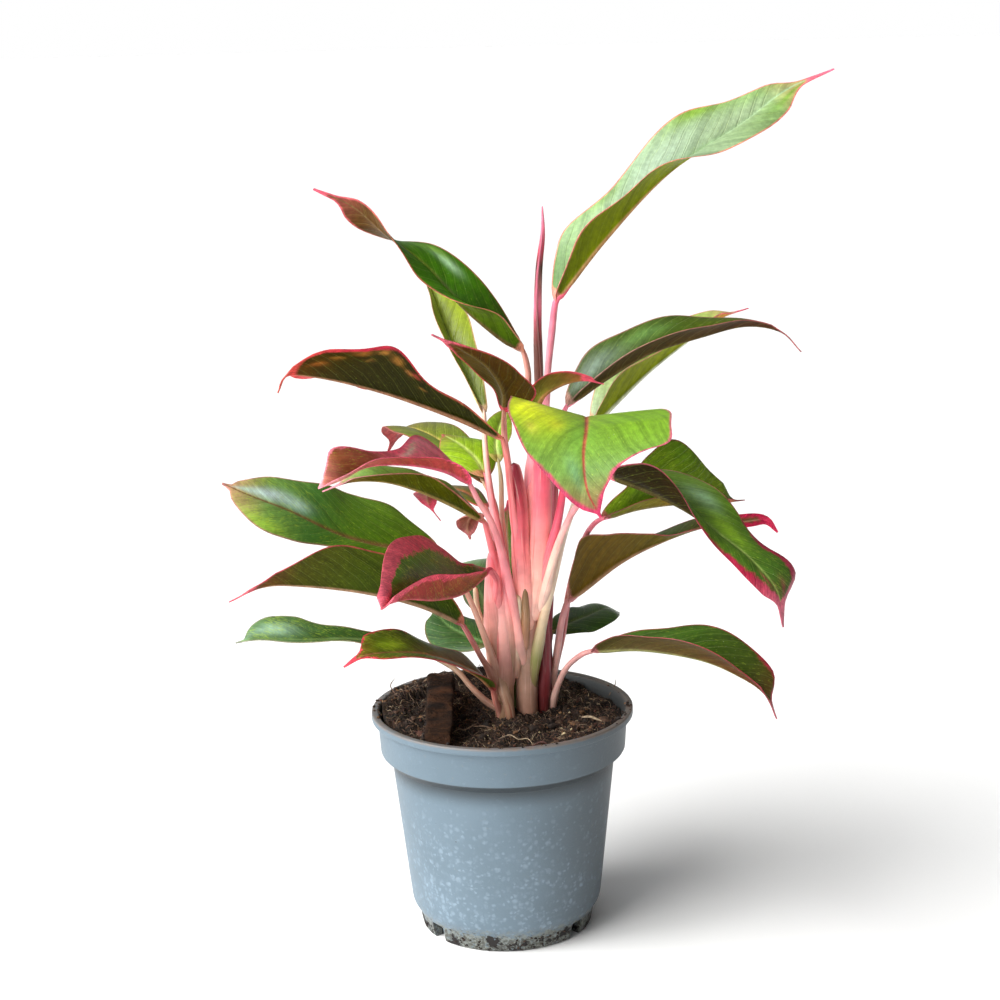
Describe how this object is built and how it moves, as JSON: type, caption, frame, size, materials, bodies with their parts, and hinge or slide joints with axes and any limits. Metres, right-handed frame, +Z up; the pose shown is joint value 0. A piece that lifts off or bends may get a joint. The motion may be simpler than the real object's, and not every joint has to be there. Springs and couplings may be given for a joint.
{
  "type": "potted plant",
  "caption": "Bushy foliage plant with pink stems and pointed, folded green leaves, standing in a round tapered nursery pot filled with peat.",
  "frame": {"origin": "centre of the pot's footprint, on the surface that it stands on", "axes": "+Z up along the plant; -Y towards the front that the picture shows; +X to the viewer's right"},
  "size_m": [0.2765, 0.2229, 0.3865],
  "materials": {
    "pot_plastic": "satin grey-blue moulded plastic with pale scuffs and dirt at the foot",
    "peat": "loose dark brown peat with fibres and crumbs",
    "pink_stem": "smooth satin plant stem, tan at the soil and pink above",
    "rolled_leaf": "rolled young leaf, brown and pink, satin",
    "green_leaf": "waxy leaf, green above and bronze below, with a pink edge and rib"
  },
  "bodies": {
    "root": {"leaf_01_tall_right": "green_leaf", "leaf_02_rolled_spear": "rolled_leaf", "leaf_03_tall_left": "green_leaf", "leaf_04_narrow_left": "green_leaf", "leaf_05_short_left": "green_leaf", "leaf_06_broad_left": "green_leaf", "leaf_07_arching_right": "green_leaf", "leaf_08_upper_right": "green_leaf", "leaf_09_small_right": "green_leaf", "leaf_10_broad_front": "green_leaf", "leaf_11_drooping_right": "green_leaf", "leaf_12_broad_right": "green_leaf", "leaf_13_slender_right": "green_leaf", "leaf_14_low_back_right": "green_leaf", "leaf_15_low_right": "green_leaf", "leaf_16_broad_low_left": "green_leaf", "leaf_17_pointed_low_left": "green_leaf", "leaf_18_pale_low_left": "green_leaf", "leaf_19_lowest_left": "green_leaf", "leaf_20_folded_front_left": "green_leaf", "leaf_21_pink_left": "green_leaf", "leaf_22_arching_left": "green_leaf", "leaf_23_small_hanging_left": "green_leaf", "leaf_24_olive_back_left": "green_leaf", "leaf_25_speckled_left": "green_leaf", "leaf_26_small_between": "green_leaf", "leaf_27_dark_back_left": "green_leaf", "leaf_28_narrow_back_left": "green_leaf", "leaf_29_small_tip_left": "green_leaf", "leaf_30_back_right": "green_leaf", "leaf_31_back_left": "green_leaf", "leaf_32_back_middle": "green_leaf", "leaf_33_low_back": "green_leaf", "left_shoot": "pink_stem", "pot": "pot_plastic", "right_shoot": "pink_stem", "side_shoot": "pink_stem", "soil": "peat"}
  },
  "joints": []
}
